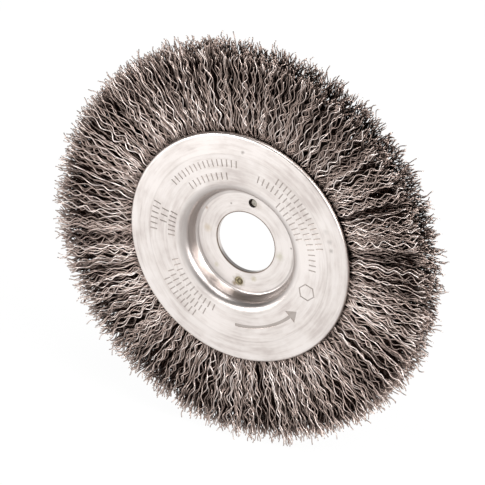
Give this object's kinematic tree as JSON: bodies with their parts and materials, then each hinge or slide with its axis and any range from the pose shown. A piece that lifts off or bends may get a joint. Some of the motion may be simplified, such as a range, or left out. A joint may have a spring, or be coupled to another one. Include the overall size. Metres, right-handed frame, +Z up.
{
  "type": "crimped wire wheel brush",
  "caption": "Narrow crimped wire wheel brush with dished steel face plates, an arbor hole and a round fill of crimped steel wire, for a bench or die grinder.",
  "frame": {"origin": "centre of the wheel, on the axis of the arbor hole, midway between the two face plates", "axes": "+Y along the arbor hole, from the stamped front plate towards the rear plate; +Z up; +X to the right as seen from the front"},
  "size_m": [0.1028, 0.012, 0.1028],
  "materials": {
    "plate_steel": "bright pressed and plated sheet, slightly stained",
    "pin_steel": "dull, greyed",
    "ring_steel": "plain rolled steel",
    "wire_steel": "drawn spring wire, warm grey, glossy on its crests"
  },
  "bodies": {
    "root": {"front_face_plate": "plate_steel", "rear_face_plate": "plate_steel", "hub_pins": "pin_steel", "channel_ring": "ring_steel", "keeper_ring": "ring_steel", "wire_tuft_01": "wire_steel", "wire_tuft_02": "wire_steel", "wire_tuft_03": "wire_steel", "wire_tuft_04": "wire_steel", "wire_tuft_05": "wire_steel", "wire_tuft_06": "wire_steel", "wire_tuft_07": "wire_steel", "wire_tuft_08": "wire_steel", "wire_tuft_09": "wire_steel", "wire_tuft_10": "wire_steel", "wire_tuft_11": "wire_steel", "wire_tuft_12": "wire_steel", "wire_tuft_13": "wire_steel", "wire_tuft_14": "wire_steel", "wire_tuft_15": "wire_steel", "wire_tuft_16": "wire_steel", "wire_tuft_17": "wire_steel", "wire_tuft_18": "wire_steel", "wire_tuft_19": "wire_steel", "wire_tuft_20": "wire_steel", "wire_tuft_21": "wire_steel", "wire_tuft_22": "wire_steel", "wire_tuft_23": "wire_steel", "wire_tuft_24": "wire_steel", "wire_tuft_25": "wire_steel", "wire_tuft_26": "wire_steel", "wire_tuft_27": "wire_steel", "wire_tuft_28": "wire_steel", "wire_tuft_29": "wire_steel", "wire_tuft_30": "wire_steel", "wire_tuft_31": "wire_steel", "wire_tuft_32": "wire_steel", "wire_tuft_33": "wire_steel", "wire_tuft_34": "wire_steel", "wire_tuft_35": "wire_steel", "wire_tuft_36": "wire_steel", "wire_tuft_37": "wire_steel", "wire_tuft_38": "wire_steel", "wire_tuft_39": "wire_steel", "wire_tuft_40": "wire_steel", "wire_tuft_41": "wire_steel", "wire_tuft_42": "wire_steel", "wire_tuft_43": "wire_steel", "wire_tuft_44": "wire_steel", "wire_tuft_45": "wire_steel", "wire_tuft_46": "wire_steel", "wire_tuft_47": "wire_steel", "wire_tuft_48": "wire_steel"}
  },
  "joints": []
}
